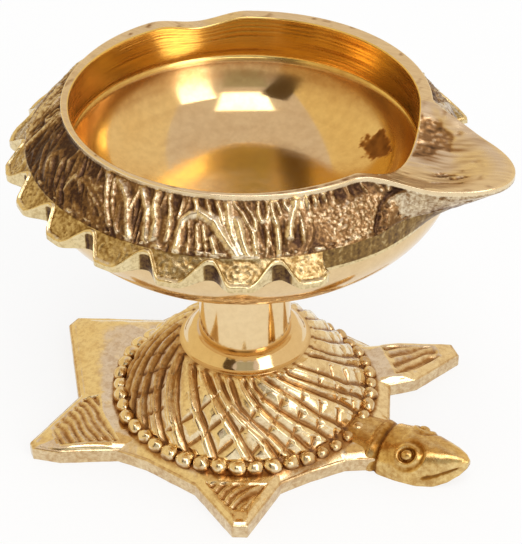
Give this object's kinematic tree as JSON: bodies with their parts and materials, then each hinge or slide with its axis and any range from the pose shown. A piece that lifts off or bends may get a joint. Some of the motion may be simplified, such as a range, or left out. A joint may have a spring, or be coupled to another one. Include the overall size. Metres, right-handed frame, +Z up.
{
  "type": "spouted oil lamp",
  "caption": "Brass oil lamp: a spouted bowl with a scalloped frill, carried on a short stem on a tortoise's back.",
  "frame": {"origin": "middle of the lamp's footprint, on the plane that the tortoise rests on", "axes": "+Z up along the stem, +X the way the spout and the tortoise's head point"},
  "size_m": [0.0818, 0.0746, 0.0611],
  "materials": {
    "cast_brass": "sand cast, dark in the recesses, hand filed and buffed on the high parts",
    "turned_brass": "turned and polished",
    "hardware_brass": "plain drawn brass",
    "plated_steel": "dull zinc plate"
  },
  "bodies": {
    "root": {"oil_bowl": "cast_brass", "stem_sleeve": "turned_brass", "collar_ring": "turned_brass", "tortoise_base": "cast_brass", "tie_stud": "hardware_brass", "flat_washer": "hardware_brass", "spring_washer": "plated_steel", "hex_nut": "hardware_brass"}
  },
  "joints": []
}
